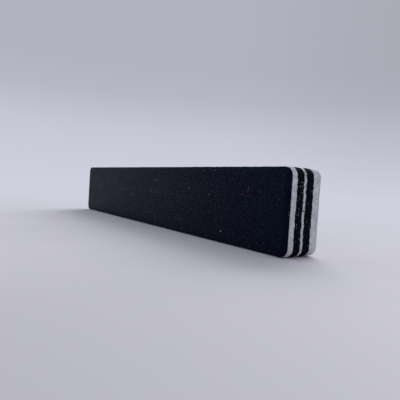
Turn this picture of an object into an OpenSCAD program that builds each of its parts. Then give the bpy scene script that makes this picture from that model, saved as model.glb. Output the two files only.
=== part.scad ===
// Laminated sponge nail file, standing on one long edge.
// A stack of sheets is glued together and die-cut in one stroke. The die presses the skins down
// before it cuts them, so both working faces roll off towards the outline, and the soft foams
// stand a little proud of the skins afterwards.
// X runs along the file, the dark working face looks along -Y and +Z is up. The origin is at the
// middle of the long edge that the file stands on.

/* [Outline] */
// Length of the file
file_length = 178; // [90:1:240]
// Height of the file as it stands, which is the width of its working faces
file_height = 28; // [18:1:50]
// Radius of the four corners of the outline
corner_radius = 3; // [3:0.5:8]

/* [Core] */
// Thickness of the stiff core board
core_thickness = 1; // [0.6:0.1:2]
// Thickness of each glue film
glue_thickness = 0.1; // [0.05:0.01:0.15]

/* [Foams] */
// Thickness of the black foam in front of the core
front_black_thickness = 2.85; // [2:0.05:5]
// Thickness of the white foam under the front skin
front_white_thickness = 2.7; // [2:0.05:5]
// Thickness of the black foam behind the core
back_black_thickness = 3.15; // [2:0.05:5]
// Thickness of the white foam under the back skin
back_white_thickness = 3; // [2:0.05:5]

/* [Abrasive skins] */
// Thickness of the paper that carries the abrasive
paper_thickness = 0.2; // [0.1:0.05:0.4]
// Thickness of the abrasive coat
grit_thickness = 0.15; // [0.1:0.05:0.4]

/* [Rolled edges] */
// Distance from the outline at which the front face starts to roll off
front_roll_width = 2.6; // [2:0.1:2.9]
// Depth that the front face has rolled off by at the outline
front_roll_depth = 0.65; // [0.1:0.05:0.7]
// Distance from the outline at which the back face starts to roll off
back_roll_width = 1.6; // [1.5:0.1:2.9]
// Depth that the back face has rolled off by at the outline
back_roll_depth = 0.2; // [0.1:0.05:0.3]
// Distance by which the front skin stays inside the outline
front_setback = 0.1; // [0:0.05:0.5]
// Distance by which the back skin stays inside the outline
back_setback = 0.1; // [0:0.05:0.5]

/* [Smoothness] */
// Number of segments in a full circle
$fn = 96; // [48:8:160]

/* [Hidden] */

// Heights of the sheets above the middle plane of the core. Both sides are stacked upwards.
core_top = core_thickness / 2;
black_low = core_top + glue_thickness;
front_black_top = black_low + front_black_thickness;
front_white_low = front_black_top + glue_thickness;
front_white_top = front_white_low + front_white_thickness;
back_black_top = black_low + back_black_thickness;
back_white_low = back_black_top + glue_thickness;
back_white_top = back_white_low + back_white_thickness;

// A skin is a glue film, a paper and an abrasive coat, and each lies this deep under the face
coat_inset = 0;
paper_inset = grit_thickness;
film_inset = grit_thickness + paper_thickness;
foam_inset = film_inset + glue_thickness;
front_face = front_white_top + foam_inset;
back_face = back_white_top + foam_inset;

// A rolling face: its height, the width and depth of its roll, and the setback of its skin
front_roll = [front_face, front_roll_width, front_roll_depth, front_setback];
back_roll = [back_face, back_roll_width, back_roll_depth, back_setback];

// Place of the core's middle plane, with the whole stack centred on Y = 0
core_y = (front_face - back_face) / 2;

// Distances between the centres of the corners
straight_length = file_length - 2 * corner_radius;
straight_height = file_height - 2 * corner_radius;

// Enough to cut clear through a section
clear = 1;

// Stands up what is stacked on the front of the core
module in_front() {
    translate([0, core_y, file_height / 2])
        rotate([90, 0, 0])
            children();
}

// Stands up what is stacked on the back of the core
module behind() {
    translate([0, core_y, file_height / 2])
        rotate([-90, 0, 0])
            children();
}

// Draws its children twice, the second time mirrored in a direction
module both_ways(direction) {
    children();
    mirror(direction)
        children();
}

// Section of all that lies deeper than inset under a rolling face. It runs from the centre of a
// corner to beyond the outline. The roll is an arc that leaves the flat face smoothly, and below
// the middle of that arc the section keeps its full width.
module under_face(roll, inset) {
    face = roll[0];
    width = roll[1];
    depth = roll[2];
    flat = corner_radius - width;
    radius = (width * width + depth * depth) / (2 * depth);
    shoulder = max(0, face - radius);
    translate([-clear, -clear])
        square([clear + corner_radius + clear, clear + shoulder]);
    translate([-clear, -clear])
        square([clear + flat, clear + face - inset]);
    intersection() {
        translate([flat, face - radius])
            circle(r = radius - inset);
        translate([flat, -clear])
            square([width + clear, clear + face]);
    }
}

// Section through the margin of a foam, from its flat underside up to a rolling skin
module foam_section(roll, low) {
    face = roll[0];
    intersection() {
        under_face(roll, foam_inset);
        translate([0, low])
            square([corner_radius, face - low]);
    }
}

// Section through the margin of one sheet of a skin, which keeps its thickness round the roll
module skin_section(roll, inset, thickness) {
    face = roll[0];
    setback = roll[3];
    difference() {
        intersection() {
            under_face(roll, inset);
            square([corner_radius - setback, face]);
        }
        under_face(roll, inset + thickness);
    }
}

// Carries a section round the outline, as a corner and the half edges that run into it, four times
module along_margin() {
    both_ways([1, 0, 0])
        both_ways([0, 1, 0]) {
            translate([straight_length / 2, straight_height / 2, 0])
                rotate_extrude(angle = 90)
                    children();
            translate([0, straight_height / 2, 0])
                rotate([90, 0, 90])
                    linear_extrude(height = straight_length / 2)
                        children();
            translate([straight_length / 2, straight_height / 2, 0])
                rotate([90, 0, 0])
                    linear_extrude(height = straight_height / 2)
                        children();
        }
}

// The middle of a sheet, inside its margin
module middle(low, high) {
    translate([-straight_length / 2, -straight_height / 2, low])
        cube([straight_length, straight_height, high - low]);
}

// A sheet that stays flat up to its cut edge
module flat_sheet(low, high) {
    middle(low, high);
    along_margin()
        translate([0, low])
            square([corner_radius, high - low]);
}

// A foam with a flat underside, under a skin that rolls off
module rolled_foam(roll, low) {
    face = roll[0];
    middle(low, face - foam_inset);
    along_margin()
        foam_section(roll, low);
}

// One sheet of a skin
module rolled_skin(roll, inset, thickness) {
    face = roll[0];
    middle(face - inset - thickness, face - inset);
    along_margin()
        skin_section(roll, inset, thickness);
}

// Black abrasive grains in their resin coat
module front_grit_coat() {
    color("#1b1f2a")
        in_front()
            rolled_skin(front_roll, coat_inset, grit_thickness);
}

// Black paper that carries the front grains
module front_backing_paper() {
    color("#15171f")
        in_front()
            rolled_skin(front_roll, paper_inset, paper_thickness);
}

// Glue film between the front paper and the white foam
module front_adhesive_film() {
    color("#a9a8ae")
        in_front()
            rolled_skin(front_roll, film_inset, glue_thickness);
}

// White foam under the front skin
module front_white_foam() {
    color("#e4e4e8")
        in_front()
            rolled_foam(front_roll, front_white_low);
}

// Glue film between the front foams
module front_foam_bond() {
    color("#8e8d92")
        in_front()
            flat_sheet(front_black_top, front_white_low);
}

// Black foam in front of the core
module front_black_foam() {
    color("#0c0e15")
        in_front()
            flat_sheet(black_low, front_black_top);
}

// Glue film on the front of the core
module front_core_bond() {
    color("#6a6a70")
        in_front()
            flat_sheet(core_top, black_low);
}

// Stiff white plastic core board
module core_board() {
    color("#c9c9ce")
        in_front()
            flat_sheet(-core_top, core_top);
}

// Glue film on the back of the core
module back_core_bond() {
    color("#6a6a70")
        behind()
            flat_sheet(core_top, black_low);
}

// Black foam behind the core
module back_black_foam() {
    color("#0c0e15")
        behind()
            flat_sheet(black_low, back_black_top);
}

// Glue film between the back foams
module back_foam_bond() {
    color("#8e8d92")
        behind()
            flat_sheet(back_black_top, back_white_low);
}

// White foam under the back skin
module back_white_foam() {
    color("#e4e4e8")
        behind()
            rolled_foam(back_roll, back_white_low);
}

// Glue film between the back paper and the white foam
module back_adhesive_film() {
    color("#a9a8ae")
        behind()
            rolled_skin(back_roll, film_inset, glue_thickness);
}

// Pale paper that carries the back grains
module back_backing_paper() {
    color("#bdbcc2")
        behind()
            rolled_skin(back_roll, paper_inset, paper_thickness);
}

// Pale abrasive grains in their resin coat
module back_grit_coat() {
    color("#9fa0a6")
        behind()
            rolled_skin(back_roll, coat_inset, grit_thickness);
}

front_grit_coat();
front_backing_paper();
front_adhesive_film();
front_white_foam();
front_foam_bond();
front_black_foam();
front_core_bond();
core_board();
back_core_bond();
back_black_foam();
back_foam_bond();
back_white_foam();
back_adhesive_film();
back_backing_paper();
back_grit_coat();
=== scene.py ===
"""A laminated sponge nail file, standing on one long edge on a pale studio floor.

Fifteen sheets are glued into one stack and die-cut in one stroke. On each side of a stiff core lie an
abrasive skin of three sheets, a white foam, a black foam and two bonds of glue. Every sheet is modelled
on its own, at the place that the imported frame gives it. X runs along the file, the black working face
looks along -Y, and +Z is up.
"""

import logging
import math
import random
from dataclasses import dataclass, field
from enum import Enum
from typing import Callable

import bmesh
import bpy
from mathutils import Matrix, Vector


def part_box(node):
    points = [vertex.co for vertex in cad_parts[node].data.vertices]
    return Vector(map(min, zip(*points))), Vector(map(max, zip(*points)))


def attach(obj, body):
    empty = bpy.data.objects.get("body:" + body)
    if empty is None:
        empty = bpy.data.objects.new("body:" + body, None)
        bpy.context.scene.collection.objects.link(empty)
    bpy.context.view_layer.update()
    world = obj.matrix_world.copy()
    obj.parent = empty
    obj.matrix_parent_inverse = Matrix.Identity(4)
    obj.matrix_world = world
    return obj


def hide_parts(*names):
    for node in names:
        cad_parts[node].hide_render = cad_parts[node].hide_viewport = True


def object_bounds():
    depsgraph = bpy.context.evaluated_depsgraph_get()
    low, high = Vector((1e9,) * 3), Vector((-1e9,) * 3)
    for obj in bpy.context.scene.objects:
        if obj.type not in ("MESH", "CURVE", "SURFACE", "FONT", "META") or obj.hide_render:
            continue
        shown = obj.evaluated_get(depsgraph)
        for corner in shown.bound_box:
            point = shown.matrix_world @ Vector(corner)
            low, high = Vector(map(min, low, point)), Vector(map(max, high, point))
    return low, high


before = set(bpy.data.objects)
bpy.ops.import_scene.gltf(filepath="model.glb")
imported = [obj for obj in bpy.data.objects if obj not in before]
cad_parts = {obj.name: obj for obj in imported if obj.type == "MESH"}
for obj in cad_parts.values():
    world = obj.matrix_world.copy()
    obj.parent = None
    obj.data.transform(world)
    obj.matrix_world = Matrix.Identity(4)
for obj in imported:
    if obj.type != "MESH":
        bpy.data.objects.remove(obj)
CAD_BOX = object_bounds()

log = logging.getLogger("nail_file")

MM = 0.001
BODY = "root"
ALONG, ACROSS, UP = 0, 1, 2
CUTS_AT_ONCE = 86  # most parts that one subdivision makes of an edge
NEAR = 1e-6  # distance below which two places count as one
CAP_FACING = 0.5  # share of a face's direction along Y above which it belongs to a cap
CAP_CORNERS = 8  # a cap has more corners than this, a face of the wall fewer
SMOOTH_ANGLE = 40  # edges blunter than this are shaded smoothly, in degrees
CLOUD_OCTAVES = 2
RULER_STRETCH = 1000  # scale of the stack ruler through the stack
NOISE_ROUGHNESS = 0.6
LARGEST_SPECK = 0.5  # radius, in cells

Triple = tuple[float, float, float]
Colour = Triple
Socket = bpy.types.NodeSocket
Rule = Callable[[object], bool]


class Side(Enum):
    """Side of the core that a sheet lies on. The value is the sign of its outward direction along Y."""

    FRONT = -1
    BACK = 1


class Direction(Enum):
    """Way in which a roughened surface is pushed. The value is the modifier's own word for it."""

    OUTWARDS = "NORMAL"
    THROUGH_STACK = "Y"


class Part(Enum):
    """Kind of mesh element. The value is the edit mode's own word for it."""

    POINT = "VERT"
    EDGE = "EDGE"
    FACE = "FACE"


# ---- Finishes


class Tree:
    """A node tree, with a short call for each sum that materials and surroundings share."""

    def __init__(self, tree: bpy.types.NodeTree) -> None:
        """Takes the tree that the nodes are added to."""
        self.nodes = tree.nodes
        self.links = tree.links

    def _feed(self, socket: Socket, value: object) -> None:
        """Links a socket to a value that is a socket, or sets it to a plain value."""
        if isinstance(value, Socket):
            self.links.new(value, socket)
        else:
            socket.default_value = value

    def vector_sum(self, operation: str, first: object, second: Triple) -> Socket:
        """One sum on a vector socket and a fixed vector, whose result is a number."""
        node = self.nodes.new("ShaderNodeVectorMath")
        node.operation = operation
        self._feed(node.inputs[0], first)
        node.inputs[1].default_value = second
        return node.outputs["Value"]

    def math(self, operation: str, first: object, second: object = 0.0) -> Socket:
        """One sum on two values, each of which is a number or a socket."""
        node = self.nodes.new("ShaderNodeMath")
        node.operation = operation
        self._feed(node.inputs[0], first)
        self._feed(node.inputs[1], second)
        return node.outputs["Value"]

    def span(self, value: object, low: float, high: float,
             to_low: float = 0.0, to_high: float = 1.0) -> Socket:
        """Maps low..high to to_low..to_high smoothly, and holds the ends."""
        node = self.nodes.new("ShaderNodeMapRange")
        node.interpolation_type = "SMOOTHSTEP"
        self._feed(node.inputs["Value"], value)
        node.inputs["From Min"].default_value = low
        node.inputs["From Max"].default_value = high
        node.inputs["To Min"].default_value = to_low
        node.inputs["To Max"].default_value = to_high
        return node.outputs["Result"]


def opaque(colour: object) -> object:
    """Gives a colour its alpha value, and leaves a socket as it is."""
    return colour if isinstance(colour, Socket) else (*colour, 1.0)


class Recipe(Tree):
    """The node tree of one material, with a short call for each node that the finishes share."""

    def __init__(self, name: str, roughness: float, specular: float) -> None:
        """Starts a material.

        Args:
            name: Name of the material.
            roughness: Roughness where nothing else is linked to it.
            specular: Strength of the dielectric reflection, 0.5 for ordinary plastic.
        """
        self.material = bpy.data.materials.new(name)
        self.material.use_nodes = True
        super().__init__(self.material.node_tree)
        self.shader = self.nodes["Principled BSDF"]
        self.shader.inputs["Roughness"].default_value = roughness
        self.shader.inputs["Specular IOR Level"].default_value = specular
        self.place = self.nodes.new("ShaderNodeTexCoord").outputs["Object"]

    def stretched(self, scale: Triple) -> Socket:
        """Object coordinates, with each axis multiplied by its own factor."""
        mapping = self.nodes.new("ShaderNodeMapping")
        mapping.inputs["Scale"].default_value = scale
        self.links.new(self.place, mapping.inputs["Vector"])
        return mapping.outputs["Vector"]

    def noise(self, size: float, detail: float = 3.0, place: Socket | None = None) -> Socket:
        """Soft noise.

        Args:
            size: Size of its blotches, in metres.
            detail: Number of finer octaves.
            place: Coordinates, or None for the object's own.

        Returns:
            The noise, from 0 to 1.
        """
        node = self.nodes.new("ShaderNodeTexNoise")
        node.inputs["Scale"].default_value = 1 / size
        node.inputs["Detail"].default_value = detail
        node.inputs["Roughness"].default_value = NOISE_ROUGHNESS
        self.links.new(place or self.place, node.inputs["Vector"])
        return node.outputs["Fac"]

    def cells(self, size: float) -> bpy.types.Node:
        """A Voronoi node whose cells have a size in metres."""
        node = self.nodes.new("ShaderNodeTexVoronoi")
        node.inputs["Scale"].default_value = 1 / size
        self.links.new(self.place, node.inputs["Vector"])
        return node

    def blend(self, share: object, base: object, top: object) -> Socket:
        """Mixes two colours, each a tuple or a socket, by a share from 0 to 1."""
        node = self.nodes.new("ShaderNodeMix")
        node.data_type = "RGBA"
        self._feed(node.inputs["Factor"], share)
        for label, value in (("A", base), ("B", top)):
            socket = next(s for s in node.inputs if s.name == label and s.type == "RGBA")
            self._feed(socket, opaque(value))
        return next(s for s in node.outputs if s.type == "RGBA")

    def flecks(self, size: float, share: float) -> Socket:
        """Sparse ragged specks of many sizes, each in the middle of a cell.

        Args:
            size: Size of a cell, in metres.
            share: Share of the cells that hold a speck.

        Returns:
            A mask that is 1 in a speck and 0 elsewhere.
        """
        cell = self.cells(size)
        pick = self.nodes.new("ShaderNodeSeparateColor")
        self.links.new(cell.outputs["Color"], pick.inputs["Color"])
        chosen = self.math("GREATER_THAN", pick.outputs["Red"], 1 - share)
        reach = self.math("MULTIPLY", pick.outputs["Green"], LARGEST_SPECK)
        ragged = self.math("MULTIPLY", self.noise(size * 0.45, detail=2), LARGEST_SPECK)
        beyond = self.math("SUBTRACT", self.math("ADD", cell.outputs["Distance"], ragged), reach)
        return self.math("MULTIPLY", chosen, self.span(beyond, LARGEST_SPECK * 0.3, 0.0))

    def colour(self, value: object) -> None:
        """Sets the base colour from a tuple or a socket."""
        self._feed(self.shader.inputs["Base Color"], opaque(value))

    def roughness(self, value: object) -> None:
        """Sets the roughness from a number or a socket."""
        self._feed(self.shader.inputs["Roughness"], value)

    def relief(self, *layers: tuple[object, float]) -> None:
        """Gives the surface its relief.

        Args:
            layers: Pairs of a height from 0 to 1 and the depth that it stands for, in metres.
        """
        normal = None
        for height, depth in layers:
            bump = self.nodes.new("ShaderNodeBump")
            bump.inputs["Distance"].default_value = depth
            self.links.new(height, bump.inputs["Height"])
            if normal is not None:
                self.links.new(normal, bump.inputs["Normal"])
            normal = bump.outputs["Normal"]
        self.links.new(normal, self.shader.inputs["Normal"])


@dataclass(frozen=True)
class Finish:
    """What a surface is made of. Colours are linear, sizes in metres, and shares run from 0 to 1."""

    name: str

    def make(self) -> bpy.types.Material:
        """Builds the material."""
        raise NotImplementedError


@dataclass(frozen=True)
class AbrasiveFinish(Finish):
    """Fine grit in a matt resin coat, with crystal specks whose colour is partly a painted glint, and
    scuffed patches.
    """

    ground: Colour
    grain: Colour
    crystal_and_glint: Colour
    scuff: Colour
    crystal_and_glint_share: float
    specular: float
    gloss_tint: Colour = (1.0, 1.0, 1.0)
    matt: tuple[float, float] = (0.5, 0.75)
    grain_size: float = 0.22 * MM
    patch_size: float = 9 * MM
    scuff_size: float = 5 * MM
    relief_depth: float = 0.05 * MM

    def make(self) -> bpy.types.Material:
        """Builds the material."""
        recipe = Recipe(self.name, roughness=self.matt[1], specular=self.specular)
        recipe.shader.inputs["Specular Tint"].default_value = (*self.gloss_tint, 1.0)
        grit = recipe.cells(self.grain_size)
        fine = recipe.noise(self.grain_size * 0.7, detail=2)
        clumps = recipe.noise(self.grain_size * 2.6, detail=4)
        patches = recipe.noise(self.patch_size, detail=4)
        scuffs = recipe.noise(self.scuff_size, detail=6)
        dense = recipe.span(patches, 0.2, 0.8, 0.45, 1.0)
        shade = recipe.math("MULTIPLY", recipe.span(clumps, 0.42, 0.66), dense)
        coat = recipe.blend(shade, self.ground, self.grain)
        rubbed = recipe.span(scuffs, 0.58, 0.72, 0.0, 0.6)
        worn = recipe.math("MULTIPLY", rubbed, recipe.span(fine, 0.45, 0.7))
        coat = recipe.blend(worn, coat, self.scuff)
        # crystal specks: light ones are partly painted glints, dark ones are real grains
        small = recipe.flecks(self.grain_size * 2.2, self.crystal_and_glint_share)
        large = recipe.flecks(self.grain_size * 4, self.crystal_and_glint_share * 0.25)
        coat = recipe.blend(small, coat, self.crystal_and_glint)
        recipe.colour(recipe.blend(large, coat, self.crystal_and_glint))
        recipe.roughness(recipe.span(clumps, 0.38, 0.62, self.matt[1], self.matt[0]))
        bumps = recipe.span(grit.outputs["Distance"], 0.0, 0.7, 1.0, 0.0)
        recipe.relief((bumps, self.relief_depth), (fine, self.relief_depth * 0.5))
        return recipe.material


@dataclass(frozen=True)
class GrainFinish(Finish):
    """A coarse grain that stands out of the coat, with glassy broken faces."""

    dark: Colour
    light: Colour
    roughness: float = 0.3
    spacing: float = 1.1 * MM
    facet_size: float = 0.1 * MM

    def make(self) -> bpy.types.Material:
        """Builds the material."""
        recipe = Recipe(self.name, self.roughness, specular=0.5)
        between = recipe.noise(self.spacing, detail=1)
        recipe.colour(recipe.blend(recipe.span(between, 0.42, 0.62), self.dark, self.light))
        facets = recipe.noise(self.facet_size)
        recipe.roughness(recipe.span(facets, 0.3, 0.7, self.roughness, self.roughness + 0.25))
        recipe.relief((recipe.noise(self.facet_size / 2, detail=1), 0.01 * MM))
        return recipe.material


@dataclass(frozen=True)
class FoamFinish(Finish):
    """The cut wall of a foam: fine open cells with painted shade in their pits, torn crumbs, mottling
    and flecks of the other foam.
    """

    ground: Colour
    pit_shade_and_mottle: Colour
    fleck: Colour
    fleck_share: float
    specular: float = 0.2
    fleck_size: float = 0.5 * MM
    cell_size: float = 0.28 * MM
    crumb_size: float = 0.75 * MM
    mottle_size: float = 1.3 * MM
    cloud_size: float = 2.8 * MM
    relief_depth: float = 0.06 * MM

    def make(self) -> bpy.types.Material:
        """Builds the material."""
        recipe = Recipe(self.name, roughness=0.85, specular=self.specular)
        cell = recipe.cells(self.cell_size)
        pit = recipe.span(cell.outputs["Distance"], 0.1, 0.5, 1.0, 0.0)
        mottle = recipe.noise(self.mottle_size, detail=5)
        clouds = recipe.noise(self.cloud_size, detail=3)
        crumbs = recipe.noise(self.crumb_size, detail=2)
        # painted shade darkens the sunken cell pits; random mottling, clouds and crumbs darken the tone
        # too
        depth = recipe.math("MULTIPLY", pit, recipe.span(mottle, 0.35, 0.7, 0.15, 0.8))
        depth = recipe.math("ADD", depth, recipe.span(clouds, 0.38, 0.66, 0.0, 0.3))
        depth = recipe.math("ADD", depth, recipe.span(crumbs, 0.44, 0.62, 0.0, 0.45))
        wall = recipe.blend(depth, self.ground, self.pit_shade_and_mottle)
        recipe.colour(recipe.blend(recipe.flecks(self.fleck_size, self.fleck_share), wall, self.fleck))
        recipe.roughness(recipe.span(mottle, 0.3, 0.7, 0.72, 0.95))
        sunk = recipe.math("MULTIPLY", pit, -1.0)
        recipe.relief((sunk, self.relief_depth), (mottle, self.relief_depth * 1.5))
        return recipe.material


@dataclass(frozen=True)
class CoreFinish(Finish):
    """The sheared edge of the stiff core: fine shear lines across it and smears of black foam."""

    ground: Colour
    streak: Colour
    smear: Colour
    line_size: float = 0.16 * MM
    line_stretch: float = 0.12
    wave_size: float = 0.7 * MM
    smear_size: float = 0.9 * MM

    def make(self) -> bpy.types.Material:
        """Builds the material."""
        recipe = Recipe(self.name, roughness=0.5, specular=0.4)
        sheared = recipe.stretched((1.0, self.line_stretch, 1.0))
        lines = recipe.noise(self.line_size, detail=3, place=sheared)
        ground = recipe.blend(recipe.span(lines, 0.35, 0.7), self.ground, self.streak)
        smears = recipe.span(recipe.noise(self.smear_size, detail=5), 0.53, 0.65)
        recipe.colour(recipe.blend(smears, ground, self.smear))
        recipe.roughness(recipe.span(lines, 0.3, 0.7, 0.42, 0.7))
        recipe.relief((lines, 0.03 * MM), (recipe.noise(self.wave_size, detail=4), 0.06 * MM))
        return recipe.material


@dataclass(frozen=True)
class CutEdgeFinish(Finish):
    """The cut edge of a thin sheet: paper with its fibres, or a film of glue."""

    ground: Colour
    fibre: Colour
    grain_size: float
    roughness: float
    specular: float

    def make(self) -> bpy.types.Material:
        """Builds the material."""
        recipe = Recipe(self.name, self.roughness, self.specular)
        fibres = recipe.noise(self.grain_size, detail=4)
        recipe.colour(recipe.blend(recipe.span(fibres, 0.35, 0.68), self.ground, self.fibre))
        recipe.roughness(recipe.span(fibres, 0.3, 0.7, self.roughness, min(1.0, self.roughness + 0.15)))
        recipe.relief((fibres, 0.02 * MM))
        return recipe.material


# the light crystal specks of the black coat are partly painted glints
BLACK_ABRASIVE = AbrasiveFinish(
    "black_abrasive", ground=(0.0002, 0.0011, 0.0070), grain=(0.0036, 0.0066, 0.0230),
    crystal_and_glint=(0.34, 0.38, 0.46), scuff=(0.005, 0.007, 0.016), crystal_and_glint_share=0.045, specular=0.10,
    gloss_tint=(0.30, 0.58, 1.0), matt=(0.34, 0.72))
PALE_ABRASIVE = AbrasiveFinish(
    "pale_abrasive", ground=(0.34, 0.34, 0.36), grain=(0.52, 0.52, 0.55),
    crystal_and_glint=(0.05, 0.05, 0.06), scuff=(0.6, 0.6, 0.62), crystal_and_glint_share=0.05, specular=0.3)
DARK_GRAIN = GrainFinish("dark_grain", (0.006, 0.007, 0.011), (0.07, 0.072, 0.08))
GREY_GRAIN = GrainFinish("grey_grain", (0.09, 0.09, 0.1), (0.5, 0.5, 0.52))
BLACK_PAPER = CutEdgeFinish("black_paper", (0.003, 0.0035, 0.006), (0.012, 0.012, 0.016),
                            grain_size=0.15 * MM, roughness=0.9, specular=0.2)
PALE_PAPER = CutEdgeFinish("pale_paper", (0.52, 0.52, 0.55), (0.66, 0.66, 0.69),
                           grain_size=0.15 * MM, roughness=0.9, specular=0.3)
CLEAR_GLUE = CutEdgeFinish("clear_glue", (0.50, 0.50, 0.52), (0.66, 0.66, 0.68),
                           grain_size=0.4 * MM, roughness=0.45, specular=0.5)
STAINED_GLUE = CutEdgeFinish("stained_glue", (0.003, 0.003, 0.005), (0.03, 0.03, 0.034),
                             grain_size=0.5 * MM, roughness=0.5, specular=0.2)
# the darker foam colour is partly painted shade in the cell pits and partly random mottling
WHITE_FOAM = FoamFinish("white_foam", ground=(0.71, 0.71, 0.725), pit_shade_and_mottle=(0.40, 0.40, 0.42),
                        fleck=(0.12, 0.12, 0.14), fleck_share=0.09)
BLACK_FOAM = FoamFinish("black_foam", ground=(0.0035, 0.0050, 0.0120), pit_shade_and_mottle=(0.0004, 0.0008, 0.0030),
                        fleck=(0.36, 0.37, 0.40), fleck_share=0.17, specular=0.045)
CORE_PLASTIC = CoreFinish("core_plastic", (0.60, 0.60, 0.62), (0.44, 0.44, 0.46), (0.02, 0.02, 0.024))


# ---- Bench: one blank, and what is done to it by hand


@dataclass(frozen=True)
class Roughness:
    """Unevenness that a cloud texture pushes into a surface, in metres.

    Attributes:
        size: Size of its lumps.
        height: Height from the lowest hollow to the highest lump.
        direction: Way in which the surface is pushed.
        middle: Texture value that stays where it is: 1 only digs in, 0 only adds.
        contrast: Steepness of the texture's values.
    """

    size: float
    height: float
    direction: Direction = Direction.OUTWARDS
    middle: float = 0.5
    contrast: float = 1.0


class Bench:
    """A blank on the bench: one cube, and the edit-mode cuts that shape it."""

    def __init__(self, name: str, low: Vector, high: Vector) -> None:
        """Adds the blank at its place.

        Args:
            name: Name of the piece.
            low: Lowest corner of the blank.
            high: Highest corner of the blank.
        """
        bpy.ops.object.select_all(action="DESELECT")
        bpy.ops.mesh.primitive_cube_add(size=1, location=(low + high) / 2, scale=high - low)
        self.piece = bpy.context.active_object
        self.piece.name = name
        self.piece.data.name = name
        self.middle = (low + high) / 2
        bpy.ops.object.transform_apply(location=True, rotation=True, scale=True)
        bpy.ops.object.mode_set(mode="EDIT")

    @property
    def elements(self) -> bmesh.types.BMesh:
        """The mesh that is being edited."""
        return bmesh.from_edit_mesh(self.piece.data)

    def select(self, part: Part, rule: Rule) -> None:
        """Selects the elements that a rule picks, and nothing else.

        Args:
            part: Kind of element.
            rule: Says of an element whether it is picked.
        """
        bpy.ops.mesh.select_mode(type=part.value)
        bpy.ops.mesh.select_all(action="DESELECT")
        mesh = self.elements
        pool = {Part.POINT: mesh.verts, Part.EDGE: mesh.edges, Part.FACE: mesh.faces}[part]
        for element in [element for element in pool if rule(element)]:
            element.select_set(True)
        if part is Part.POINT:
            mesh.select_flush(True)
        bmesh.update_edit_mesh(self.piece.data)

    def select_longer(self, axis: int, length: float) -> None:
        """Selects the edges that run along an axis and are longer than a length."""
        self.select(Part.EDGE, lambda edge: runs_along(edge, axis) and edge.calc_length() > length)

    def round_corners(self, radius: float, segments: int) -> None:
        """Rounds the four corners of the outline."""
        self.select_longer(ACROSS, NEAR)
        bpy.ops.mesh.bevel(offset=radius, segments=segments, affect="EDGES")

    def open_caps(self) -> None:
        """Takes off both flat faces, so that later cuts stay on the wall."""
        self.select(Part.FACE, lambda face: abs(face.normal.y) > CAP_FACING)
        bpy.ops.mesh.delete(type="ONLY_FACE")

    def cut(self, axis: int, pitch: float, longer_than: float = NEAR) -> int:
        """Cuts the edges that run along an axis into short ones.

        Args:
            axis: The axis.
            pitch: Length that the short edges come closest to.
            longer_than: Shorter edges are left whole.

        Returns:
            The number of short edges that each long one became.
        """
        whole = max(edge.calc_length() for edge in self.elements.edges if runs_along(edge, axis))
        passes = math.ceil(whole / pitch / CUTS_AT_ONCE)
        each = round(whole / pitch / passes)
        self.select_longer(axis, longer_than)
        if each > 1:
            bpy.ops.mesh.subdivide(number_cuts=each - 1)
        if passes > 1:
            self.select_longer(axis, whole / each - NEAR)
            bpy.ops.mesh.subdivide(number_cuts=passes - 1)
        return each * passes

    def grow_ring(self, depth: float, growth: float) -> None:
        """Moves the ring of the wall at one depth outwards, or inwards where growth is below 0."""
        half = self.half_size
        self.select(Part.POINT, lambda point: abs(point.co.y - depth) < NEAR)
        bpy.ops.transform.resize(
            value=(1 + growth / half.x, 1, 1 + growth / half.z), center_override=self.middle)

    @property
    def half_size(self) -> Vector:
        """Half the size of the blank along each axis."""
        points = [point.co for point in self.elements.verts]
        return Vector([(max(p[k] for p in points) - min(p[k] for p in points)) / 2 for k in range(3)])

    def close_cap(self, depth: float) -> None:
        """Closes the open rim at one depth with a single face."""
        self.select(Part.EDGE, lambda edge: edge.is_boundary and all(
            abs(point.co.y - depth) < NEAR for point in edge.verts))
        bpy.ops.mesh.edge_face_add()

    def face_outwards(self) -> None:
        """Points every face outwards."""
        bpy.ops.mesh.select_all(action="SELECT")
        bpy.ops.mesh.normals_make_consistent(inside=False)

    def pick_cap(self, direction: int) -> None:
        """Selects the one face with many corners that looks along +Y or -Y."""
        self.select(Part.FACE, lambda face: (
            len(face.verts) > CAP_CORNERS and face.normal.y * direction > CAP_FACING))

    def step_in(self, width: float, rise: float) -> None:
        """Insets the selected cap by a width and lifts it along its own direction."""
        bpy.ops.mesh.inset(thickness=width, depth=rise)

    def weave_cap(self, columns: int) -> None:
        """Exchanges the selected cap for an even grid.

        Args:
            columns: Number of columns between the middles of two corners.
        """
        bpy.ops.mesh.delete(type="ONLY_FACE")
        self.select(Part.POINT, lambda point: point.is_boundary)
        mesh = self.elements
        corner = max((v for v in mesh.verts if v.is_boundary), key=lambda v: v.co.x + v.co.z)
        mesh.select_history.clear()
        mesh.select_history.add(corner)
        bmesh.update_edit_mesh(self.piece.data)
        bpy.ops.mesh.fill_grid(span=columns, offset=0)

    def leave(self) -> None:
        """Ends the edit-mode work."""
        bpy.ops.object.mode_set(mode="OBJECT")

    def weigh(self, name: str, weight: Callable[[bpy.types.MeshVertex], float]) -> None:
        """Makes a vertex group.

        Args:
            name: Name of the group.
            weight: Weight of a vertex, from 0 to 1.
        """
        group = self.piece.vertex_groups.new(name=name)
        for vertex in self.piece.data.vertices:
            value = weight(vertex)
            if value > 0:
                group.add([vertex.index], value, "REPLACE")

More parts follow.
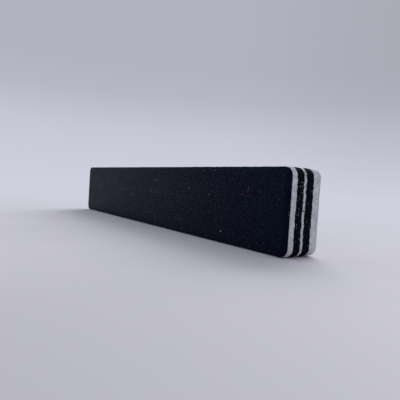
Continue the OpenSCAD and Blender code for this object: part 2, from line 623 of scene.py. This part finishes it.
    def roughen(self, label: str, rough: Roughness, group: str) -> None:
        """Pushes a cloud texture into the surface.

        Args:
            label: Name of the texture.
            rough: The unevenness.
            group: Vertex group that limits it.
        """
        clouds = bpy.data.textures.get(label)
        if clouds is None:
            clouds = bpy.data.textures.new(label, "CLOUDS")
            clouds.noise_scale = rough.size
            clouds.noise_depth = CLOUD_OCTAVES
            clouds.contrast = rough.contrast
        push = self.piece.modifiers.new(label, "DISPLACE")
        push.texture = clouds
        if rough.direction is Direction.THROUGH_STACK:
            push.texture_coords = "OBJECT"
            push.texture_coords_object = stack_ruler()
        push.direction = rough.direction.value
        push.strength = rough.height
        push.mid_level = rough.middle
        push.vertex_group = group
        bpy.ops.object.modifier_apply(modifier=push.name)

    def smooth(self, degrees: float) -> None:
        """Shades smoothly across edges that are blunter than an angle."""
        bpy.ops.object.shade_smooth_by_angle(angle=math.radians(degrees))


def stack_ruler() -> bpy.types.Object:
    """The empty whose coordinates hardly change through the stack, so that all sheets waver alike."""
    ruler = bpy.data.objects.get("stack_ruler")
    if ruler is None:
        ruler = bpy.data.objects.new("stack_ruler", None)
        ruler.scale = (1, RULER_STRETCH, 1)
        bpy.context.collection.objects.link(ruler)
        bpy.context.view_layer.update()
    return ruler


def within(share: float) -> float:
    """Holds a share between 0 and 1."""
    return max(0.0, min(1.0, share))


def runs_along(edge: bmesh.types.BMEdge, axis: int) -> bool:
    """Says whether an edge runs along an axis."""
    step = edge.verts[1].co - edge.verts[0].co
    return all(abs(step[k]) < NEAR for k in range(3) if k != axis) and abs(step[axis]) > NEAR


# ---- Sheets


@dataclass(frozen=True)
class Outline:
    """Outline that the die cuts: a rounded rectangle, seen along Y."""

    half_length: float
    height: float
    corner: float = 3.0 * MM
    corner_segments: int = 12
    pitch: float = 0.27 * MM


@dataclass(frozen=True)
class Roll:
    """The way a working face rolls off towards the outline, as an arc."""

    width: float
    depth: float

    def drop(self, from_outline: float, inset: float) -> float:
        """Depth of a layer of the roll below the flat part of that layer.

        Args:
            from_outline: Distance inside the outline.
            inset: Depth of the layer below the working face.

        Returns:
            The depth, in metres.
        """
        radius = (self.width ** 2 + self.depth ** 2) / (2 * self.depth) - inset
        run = max(0.0, self.width - from_outline)
        return radius - math.sqrt(radius ** 2 - run ** 2)


@dataclass(frozen=True)
class Wall:
    """Look of a sheet's cut wall.

    Attributes:
        recess: Distance of the wall inside the outline.
        bulge: Distance that the middle of the wall stands out again.
        rim: Distance that its two rims are drawn in.
        row: Height of a row of faces.
        rough: Unevenness of the wall, coarse first.
    """

    recess: float
    bulge: float
    rim: float
    row: float
    rough: tuple[Roughness, ...]


DIE_WAVER = Roughness(9 * MM, 0.10 * MM)
FOAM_WALL = Wall(recess=0.14 * MM, bulge=0.06 * MM, rim=0.05 * MM, row=0.26 * MM, rough=(
    DIE_WAVER, Roughness(1.1 * MM, 0.10 * MM), Roughness(0.35 * MM, 0.06 * MM)))
CORE_WALL = Wall(recess=0.11 * MM, bulge=0.0, rim=0.02 * MM, row=0.2 * MM, rough=(
    DIE_WAVER, Roughness(0.7 * MM, 0.16 * MM), Roughness(0.3 * MM, 0.12 * MM)))
FILM_WALL = Wall(recess=0.16 * MM, bulge=0.0, rim=0.0, row=0.1 * MM, rough=(
    DIE_WAVER, Roughness(0.9 * MM, 0.06 * MM)))
SKIN_WALL = Wall(recess=0.13 * MM, bulge=0.0, rim=0.0, row=0.1 * MM, rough=(
    DIE_WAVER, Roughness(1.6 * MM, 0.10 * MM, contrast=1.6),
    Roughness(0.5 * MM, 0.18 * MM, contrast=1.8)))
SHEET_WAVERS = (Roughness(1.5 * MM, 0.28 * MM, Direction.THROUGH_STACK, contrast=1.8),
                Roughness(0.6 * MM, 0.36 * MM, Direction.THROUGH_STACK, contrast=1.8))
WAVER_REACH = 6.2 * MM  # distance from the core at which the waver has faded away
WAVER_RISE = 2.2  # steepness with which it grows from there towards the core
WALL_RISE, WALL_START = 1.6, 0.1  # steepness and start of the wall's unevenness, by the normals
GRIT = Roughness(0.32 * MM, 0.06 * MM, middle=1.0)


@dataclass(kw_only=True)
class Sheet:
    """One die-cut sheet of the stack, flat on both faces.

    Attributes:
        node: Name of the sheet in the frame.
        side: Side of the core that it lies on.
        slot: Name that the sheet's roughening textures are labelled with.
        finish: Its finish.
        wall: Look of its cut wall.
        outline: Outline that it is cut to.
        outer: Y of the flat part of its outer face.
        inner: Y of the flat part of its inner face.
        core: Y of the middle of the core.
        setback: Distance of its edge inside the outline.
        soft: True for a foam. Not used.
        columns: Columns of a grid that fits the outline, known once the blank is cut.
    """

    node: str
    side: Side
    slot: str
    finish: Finish
    wall: Wall
    outline: Outline
    outer: float
    inner: float
    core: float
    setback: float = 0.0
    soft: bool = False
    columns: int = field(default=0, init=False)

    def rims(self) -> tuple[float, float]:
        """Y of the outer and of the inner rim of the cut wall."""
        return self.outer, self.inner

    def blank(self) -> Bench:
        """Cuts the blank: a slab with round corners, an even wall and no caps."""
        rims = self.rims()
        reach = self.outline.half_length - self.setback
        low = Vector((-reach, min(rims), self.setback))
        high = Vector((reach, max(rims), self.outline.height - self.setback))
        bench = Bench(self.node, low, high)
        bench.round_corners(self.outline.corner - self.setback, self.outline.corner_segments)
        bench.open_caps()
        pitch = self.outline.pitch
        self.columns = bench.cut(ALONG, pitch, self.outline.corner) + self.outline.corner_segments
        bench.cut(UP, pitch, self.outline.corner)
        rows = bench.cut(ACROSS, self.wall.row)
        for row in range(rows + 1):
            share = row / rows
            rim = self.wall.rim if row in (0, rows) else 0.0
            growth = self.wall.bulge * math.sin(math.pi * share) - rim - self.wall.recess
            bench.grow_ring(low.y + (high.y - low.y) * share, growth)
        return bench

    def shape_faces(self, bench: Bench) -> None:
        """Shapes the outer and the inner face, which here stay flat."""

    def wall_weight(self, vertex: bpy.types.MeshVertex) -> float:
        """Share of the wall's unevenness that a vertex takes: all on the wall, none on the faces."""
        return within(WALL_RISE * (1 - abs(vertex.normal.y)) - WALL_START)

    def waver_weight(self, vertex: bpy.types.MeshVertex) -> float:
        """Share of the stack's waver that a vertex takes: most at the core, none at the skins."""
        away = abs(vertex.co.y - self.core) / WAVER_REACH
        return within(WAVER_RISE * (1 - away))

    def dress(self, bench: Bench) -> None:
        """Roughens the piece, shades it and gives it its finish."""
        bench.weigh("wall", self.wall_weight)
        bench.weigh("waver", self.waver_weight)
        for rough in self.wall.rough:
            bench.roughen(f"{self.slot}_{rough.size / MM:.2f}", rough, "wall")
        for waver in SHEET_WAVERS:
            bench.roughen(f"stack_waver_{waver.size / MM:.2f}", waver, "waver")
        bench.piece.vertex_groups.clear()
        bench.piece.data.materials.append(material(self.finish))
        bench.smooth(SMOOTH_ANGLE)

    def build(self) -> bpy.types.Object:
        """Models and dresses the sheet, and puts it in the frame."""
        bench = self.blank()
        for rim in self.rims():
            bench.close_cap(rim)
        bench.face_outwards()
        self.shape_faces(bench)
        bench.leave()
        self.dress(bench)
        piece = bench.piece
        piece.name = f"{self.node}_sheet"
        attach(piece, BODY)
        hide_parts(self.node)
        log.info("%s: %d faces", piece.name, len(piece.data.polygons))
        return piece


@dataclass(kw_only=True)
class RolledFoam(Sheet):
    """A foam under a skin: its outer face rolls off, and a soft shoulder swells out beside the skin.

    Attributes:
        roll: The way the working face rolls off.
        face: Y of the flat part of the working face.
        shoulder: Radius of the shoulder.
        shoulder_steps: Number of steps round the shoulder.
        roll_steps: Number of steps over the rest of the roll.
    """

    roll: Roll
    face: float
    shoulder: float
    shoulder_steps: int = 4
    roll_steps: int = 5

    @property
    def inset(self) -> float:
        """Depth of this sheet below the working face."""
        return abs(self.outer - self.face)

    def rise(self, from_outline: float) -> float:
        """Height of the outer face above the lower end of the shoulder.

        Args:
            from_outline: Distance inside the outline.

        Returns:
            The height, in metres.
        """
        total = self.roll.drop(0.0, self.inset)
        rolled = total - self.roll.drop(from_outline, self.inset)
        beside = max(0.0, self.shoulder - from_outline)
        return rolled + math.sqrt(self.shoulder ** 2 - beside ** 2)

    def rims(self) -> tuple[float, float]:
        """Y of the outer and of the inner rim of the cut wall."""
        fall = self.roll.drop(0.0, self.inset) + self.shoulder
        return self.outer - self.side.value * fall, self.inner

    def stations(self) -> list[float]:
        """Distances inside the outline at which the outer face has an edge."""
        quarter = [self.shoulder * (1 - math.cos(math.pi / 2 * k / self.shoulder_steps))
                   for k in range(self.shoulder_steps + 1)]
        rest = self.roll.width - self.shoulder
        rolled = [self.shoulder + rest * k / self.roll_steps for k in range(1, self.roll_steps + 1)]
        return quarter + rolled

    def shape_faces(self, bench: Bench) -> None:
        """Raises the outer face step by step from the rim to the flat."""
        bench.pick_cap(self.side.value)
        places = self.stations()
        for before, after in zip(places, places[1:]):
            bench.step_in(after - before, self.rise(after) - self.rise(before))


@dataclass(kw_only=True)
class SkinSheet(Sheet):
    """One sheet of an abrasive skin, which keeps its thickness as it rolls off.

    Attributes:
        roll: The way the working face rolls off.
        face: Y of the flat part of the working face.
        steps: Number of steps over the roll.
    """

    roll: Roll
    face: float
    steps: int = 6

    def layer(self, flat: float, from_outline: float) -> float:
        """Y of one surface of the skin.

        Args:
            flat: Y of its flat part.
            from_outline: Distance inside the outline.

        Returns:
            Y at that distance.
        """
        return flat - self.side.value * self.roll.drop(from_outline, abs(flat - self.face))

    def rims(self) -> tuple[float, float]:
        """Y of the outer and of the inner rim of the cut edge."""
        return self.layer(self.outer, self.setback), self.layer(self.inner, self.setback)

    def shape_faces(self, bench: Bench) -> None:
        """Raises both faces step by step from the rims to the flat."""
        width = (self.roll.width - self.setback) / self.steps
        for flat, direction in ((self.inner, -self.side.value), (self.outer, self.side.value)):
            bench.pick_cap(direction)
            for step in range(self.steps):
                before = self.layer(flat, self.setback + width * step)
                after = self.layer(flat, self.setback + width * (step + 1))
                bench.step_in(width, (after - before) * direction)


@dataclass(kw_only=True)
class GritCoat(SkinSheet):
    """The abrasive coat: an even mesh of grit over the whole face, and coarse grains that stand out.

    Attributes:
        grain_finish: Finish of the coarse grains.
        seed: Start of the random draws that place them.
        grains: Number of coarse grains.
        grain_radius: Smallest and largest radius of a grain.
        grain_thickness: Least and greatest thickness, as a share of that radius.
        grain_breadth: Least and greatest breadth, as a share of it.
        grain_sunk: Depth of a grain's middle below the face, as a share of it.
    """

    grain_finish: Finish
    seed: int
    steps: int = 8
    grains: int = 700
    grain_radius: tuple[float, float] = (0.07 * MM, 0.15 * MM)
    grain_thickness: tuple[float, float] = (0.6, 0.9)
    grain_breadth: tuple[float, float] = (0.6, 1.0)
    grain_sunk: float = 0.9

    def shape_faces(self, bench: Bench) -> None:
        """Rolls both faces, then weaves an even grid into the working face."""
        super().shape_faces(bench)
        bench.pick_cap(self.side.value)
        bench.weave_cap(self.columns)

    def dress(self, bench: Bench) -> None:
        """Digs the grit into the working face, then adds the coarse grains."""
        bench.weigh("grit", lambda vertex: max(0.0, vertex.normal.y * self.side.value))
        bench.roughen(f"{self.slot}_grit", GRIT, "grit")
        super().dress(bench)
        self.sow(bench)

    def grain_pattern(self) -> bpy.types.Object:
        """Makes the grain that the others are copied from, a lump with twenty faces."""
        bpy.ops.object.select_all(action="DESELECT")
        bpy.ops.mesh.primitive_ico_sphere_add(subdivisions=1, radius=1)
        pattern = bpy.context.active_object
        for finish in (self.finish, self.grain_finish):
            pattern.data.materials.append(material(finish))
        for face in pattern.data.polygons:
            face.material_index = 1
        return pattern

    def grain(self, pattern: bpy.types.Object, chance: random.Random) -> bpy.types.Object:
        """Sets one coarse grain into the face.

        Args:
            pattern: The grain that is copied.
            chance: Random draws that give its place, size and turn.

        Returns:
            The grain.
        """
        margin = self.outline.corner / 2
        reach = self.outline.half_length - self.setback - self.outline.corner
        x = chance.uniform(-reach, reach)
        z = chance.uniform(self.setback + margin, self.outline.height - self.setback - margin)
        edge = min(z, self.outline.height - z, self.outline.half_length - abs(x))
        size = chance.uniform(*self.grain_radius)
        sunk = self.side.value * (size * self.grain_sunk + self.roll.drop(edge, 0.0))
        angle = chance.uniform(0, math.tau)
        axle = Vector((chance.uniform(-1, 1), chance.uniform(-1, 1), 1)).normalized()
        thickness = size * chance.uniform(*self.grain_thickness)
        breadth = size * chance.uniform(*self.grain_breadth)
        stretch = Matrix.Diagonal((size, thickness, breadth, 1))
        grain = bpy.data.objects.new("grain", pattern.data.copy())
        grain.data.transform(Matrix.Translation((x, self.face - sunk, z)) @ stretch
                             @ Matrix.Rotation(angle, 4, axle))
        bpy.context.collection.objects.link(grain)
        return grain

    def sow(self, bench: Bench) -> None:
        """Sets all the coarse grains into the coat and joins them to it."""
        pattern = self.grain_pattern()
        chance = random.Random(self.seed)
        grains = [self.grain(pattern, chance) for _ in range(self.grains)]
        bpy.data.objects.remove(pattern)
        for piece in (*grains, bench.piece):
            piece.select_set(True)
        bpy.context.view_layer.objects.active = bench.piece
        bpy.ops.object.join()


_materials: dict[str, bpy.types.Material] = {}


def material(finish: Finish) -> bpy.types.Material:
    """The material of a finish, made the first time it is asked for."""
    if finish.name not in _materials:
        _materials[finish.name] = finish.make()
    return _materials[finish.name]


# ---- The file


@dataclass(frozen=True)
class SideLook:
    """What differs between the two sides of the file.

    Attributes:
        coat: Finish of the abrasive coat. Its name is also the coat's slot.
        grain: Finish of the coarse grains.
        paper: Finish of the backing paper. Its name is also the paper's slot.
        roll: The way the working face rolls off.
        shoulder: Radius of the white foam's shoulder.
        seed: Start of the random draws for the coarse grains.
    """

    coat: AbrasiveFinish
    grain: GrainFinish
    paper: CutEdgeFinish
    roll: Roll
    shoulder: float
    seed: int


CORE = "core_board"
KINDS = (
    "grit_coat", "backing_paper", "adhesive_film", "white_foam", "foam_bond", "black_foam", "core_bond")
LOOKS = {
    Side.FRONT: SideLook(BLACK_ABRASIVE, DARK_GRAIN, BLACK_PAPER, Roll(width=2.6 * MM, depth=0.65 * MM),
                         shoulder=0.36 * MM, seed=11),
    Side.BACK: SideLook(PALE_ABRASIVE, GREY_GRAIN, PALE_PAPER, Roll(width=1.6 * MM, depth=0.2 * MM),
                        shoulder=0.12 * MM, seed=12),
}


def outer_face(box: tuple[Triple, Triple], side: Side) -> float:
    """Y of the face of a box that looks away from the core."""
    low, high = box
    return low[1] if side is Side.FRONT else high[1]


class NailFile:
    """The stack of fifteen sheets, from the black working face to the pale one."""

    def __init__(self) -> None:
        """Reads the outline and the middle of the core from the frame."""
        high = CAD_BOX[1]
        self.outline = Outline(half_length=high[0], height=high[2])
        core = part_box(CORE)
        self.core = (core[0][1] + core[1][1]) / 2

    def stack(self, side: Side) -> list[Sheet]:
        """Lists the seven sheets of one side, from the working face down to the core."""
        look = LOOKS[side]
        nodes = [f"{side.name.lower()}_{kind}" for kind in KINDS]
        levels = [outer_face(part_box(node), side) for node in (*nodes, CORE)]
        coat, paper, film, white, foam_bond, black, core_bond = (
            dict(node=node, side=side, outline=self.outline, outer=outer, inner=inner, core=self.core)
            for node, outer, inner in zip(nodes, levels, levels[1:]))
        rolled = dict(roll=look.roll, face=outer_face(CAD_BOX, side))
        setback = self.outline.half_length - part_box(nodes[0])[1][0]
        skin = dict(rolled, wall=SKIN_WALL, setback=setback)
        foam = dict(wall=FOAM_WALL, soft=True)
        bond = dict(wall=FILM_WALL, slot="clear_glue", finish=STAINED_GLUE)
        return [
            GritCoat(**coat, **skin, slot=look.coat.name, finish=look.coat, grain_finish=look.grain,
                     seed=look.seed),
            SkinSheet(**paper, **skin, slot=look.paper.name, finish=look.paper),
            SkinSheet(**film, **skin, slot="clear_glue", finish=CLEAR_GLUE),
            RolledFoam(**white, **rolled, **foam, slot="white_foam", finish=WHITE_FOAM,
                       shoulder=look.shoulder),
            Sheet(**foam_bond, **bond),
            Sheet(**black, **foam, slot="black_foam", finish=BLACK_FOAM),
            Sheet(**core_bond, **bond),
        ]

    def core_board(self) -> Sheet:
        """The stiff core."""
        low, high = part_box(CORE)
        return Sheet(node=CORE, side=Side.FRONT, slot="core_plastic", finish=CORE_PLASTIC,
                     wall=CORE_WALL, outline=self.outline, outer=low[1], inner=high[1], core=self.core)

    def build(self) -> list[bpy.types.Object]:
        """Builds every sheet of the stack."""
        sheets = [*self.stack(Side.FRONT), self.core_board(), *reversed(self.stack(Side.BACK))]
        pieces = [sheet.build() for sheet in sheets]
        bpy.data.objects.remove(stack_ruler())
        return pieces


# ---- Studio


@dataclass(frozen=True)
class Viewpoint:
    """Camera beside the near end of the file, low over the floor.

    Attributes:
        beyond_end: Distance past the near end, along X.
        before_face: Distance in front of the black working face, along Y.
        height: Height above the floor.
        azimuth: Direction of view, in degrees: 0 looks along +Y and 90 along -X.
        dip: Angle below the horizontal, in degrees.
        lean: Turn about the line of sight, in degrees.
        lens: Focal length in millimetres, for a sensor 36 mm wide.
        clip_start: Distance from which things are seen.
    """

    beyond_end: float = 79.0 * MM
    before_face: float = 87.0 * MM
    height: float = 20.5 * MM
    azimuth: float = 55.18
    dip: float = 2.17
    lean: float = 3.61
    lens: float = 35.0
    clip_start: float = 1 * MM

    def place(self) -> None:
        """Adds the camera and makes it the scene's."""
        low, high = CAD_BOX
        data = bpy.data.cameras.new("camera")
        data.lens = self.lens
        data.clip_start = self.clip_start
        camera = bpy.data.objects.new("camera", data)
        bpy.context.collection.objects.link(camera)
        turn = (Matrix.Rotation(math.radians(self.azimuth), 4, "Z")
                @ Matrix.Rotation(math.radians(90 - self.dip), 4, "X")
                @ Matrix.Rotation(math.radians(self.lean), 4, "Z"))
        spot = (high[0] + self.beyond_end, low[1] - self.before_face, self.height)
        camera.matrix_world = Matrix.Translation(spot) @ turn
        bpy.context.scene.camera = camera


@dataclass(frozen=True)
class Studio:
    """A wide pale floor under a soft sky of studio light.

    Attributes:
        floor_reach: Half the width of the floor.
        floor_colour: Colour of the floor.
        far_colour: Its colour in the distance, lighter and bluer, as painted light of the surroundings.
        far_reach: Distances at which the second colour starts and is full.
        dim_spot: Middle of a faint painted shade on the floor, as X and Y.
        dim_reach: Distance at which that shade has faded away.
        dim_tone: Tone in its middle, as a share of the floor's.
        cloud_size: Size of the faint clouds in the floor's tone.
        cloud_share: How far they go towards the tone of the shade.
        sky: Brightness at heights above the horizon, as pairs of the height's sine and a grey.
        dark_side: Direction in which the sky is dimmer, as X and Y.
        dark_turn: Shares of that direction at which this starts and is full.
        dark_tone: The sky's tone on that side, as a share of the tone elsewhere.
        dark_heights: Heights above the horizon, as sines, at which this starts and is full.
        tint: Colour of the sky.
        key_strength: Strength of the soft key light.
        key_angle: Apparent width of the key light, in degrees.
        key_azimuth: Direction in which the key light shines, counted like the camera's azimuth.
        key_elevation: Height of the key light above the horizon, in degrees.
    """

    floor_reach: float = 6.0
    floor_colour: Colour = (0.730, 0.723, 0.742)
    # painted light: the floor turns lighter and bluer in the distance
    far_colour: Colour = (0.750, 0.750, 0.790)
    far_reach: tuple[float, float] = (0.17, 0.46)
    # painted shade: the floor's colour is darker around this spot
    dim_spot: tuple[float, float] = (0.16, -0.155)
    dim_reach: float = 0.15
    dim_tone: float = 0.62
    cloud_size: float = 60 * MM
    cloud_share: float = 0.12
    sky: tuple[tuple[float, float], ...] = (
        (0.0, 0.63), (0.08, 0.605), (0.13, 0.575), (0.17, 0.53),
        (0.21, 0.485), (0.28, 0.455), (0.45, 0.455), (1.0, 0.60))
    dark_side: tuple[float, float] = (0.57, 0.82)
    dark_turn: tuple[float, float] = (0.0, 0.5)
    dark_tone: float = 0.895
    dark_heights: tuple[float, float] = (-0.02, 0.13)
    tint: Colour = (0.98, 0.99, 1.155)
    key_strength: float = 2.26
    key_angle: float = 52.0
    key_azimuth: float = 214.0
    key_elevation: float = 28.0

    def lay_floor(self) -> None:
        """Lays the floor, with a faint unevenness in its tone, a painted shade near the front and
        painted light in the distance.
        """
        bpy.ops.object.select_all(action="DESELECT")
        bpy.ops.mesh.primitive_plane_add(size=2 * self.floor_reach, location=(0, 0, 0))
        floor = bpy.context.active_object
        floor.name = "studio_floor"
        recipe = Recipe("studio_floor", roughness=0.9, specular=0.0)
        cloudy = recipe.span(recipe.noise(self.cloud_size, detail=2), 0.3, 0.7, 0.0, self.cloud_share)
        # painted shade: the floor's colour darkens towards the dim spot, standing in for shade on the
        # floor
        away = recipe.vector_sum("DISTANCE", recipe.place, (*self.dim_spot, 0.0))
        shade = recipe.span(away, 0.0, self.dim_reach, 1.0, 0.0)
        deeper = tuple(self.dim_tone * part for part in self.floor_colour)
        near = recipe.blend(recipe.math("MAXIMUM", shade, cloudy), self.floor_colour, deeper)
        # painted light: the floor's colour turns lighter and bluer further from the dim spot
        recipe.colour(recipe.blend(recipe.span(away, *self.far_reach), near, self.far_colour))
        recipe.relief((recipe.noise(0.6 * MM, detail=2), 0.01 * MM))
        floor.data.materials.append(recipe.material)

    def light_sky(self) -> None:
        """Makes the surroundings: brightest at the horizon, dimmer above it."""
        world = bpy.data.worlds.new("studio_sky")
        bpy.context.scene.world = world
        world.use_nodes = True
        tree = Tree(world.node_tree)
        lamp = tree.nodes["Background"]
        ray = tree.nodes.new("ShaderNodeTexCoord").outputs["Generated"]
        height = tree.vector_sum("DOT_PRODUCT", ray, (0.0, 0.0, 1.0))
        ramp = tree.nodes.new("ShaderNodeValToRGB")
        stops = ramp.color_ramp.elements
        for place, _ in self.sky[1:-1]:
            stops.new(place)
        for stop, (place, grey) in zip(stops, self.sky):
            stop.position = place
            stop.color = (*(grey * part for part in self.tint), 1.0)
        tree.links.new(height, ramp.inputs["Fac"])
        tree.links.new(ramp.outputs["Color"], lamp.inputs["Color"])
        aside = tree.span(tree.vector_sum("DOT_PRODUCT", ray, (*self.dark_side, 0.0)), *self.dark_turn)
        aloft = tree.span(height, *self.dark_heights)
        drop = tree.math("MULTIPLY", tree.math("MULTIPLY", aside, aloft), 1 - self.dark_tone)
        tree.links.new(tree.math("SUBTRACT", 1.0, drop), lamp.inputs["Strength"])

    def hang_key(self) -> None:
        """Hangs the soft key light."""
        data = bpy.data.lights.new("key_light", "SUN")
        data.energy = self.key_strength
        data.angle = math.radians(self.key_angle)
        key = bpy.data.objects.new("key_light", data)
        bpy.context.collection.objects.link(key)
        key.matrix_world = (Matrix.Rotation(math.radians(self.key_azimuth), 4, "Z")
                            @ Matrix.Rotation(math.radians(90 - self.key_elevation), 4, "X"))

    def build(self) -> None:
        """Lays the floor and sets the lights."""
        self.lay_floor()
        self.light_sky()
        self.hang_key()
        bpy.context.scene.view_settings.view_transform = "Standard"
        log.info("studio: floor, sky and key light")


def main() -> None:
    """Builds the camera, the studio and the file."""
    logging.basicConfig(level=logging.INFO, format="%(name)s: %(message)s")
    Viewpoint().place()
    Studio().build()
    pieces = NailFile().build()
    log.info("nail file: %d sheets", len(pieces))


if __name__ == "__main__":
    main()
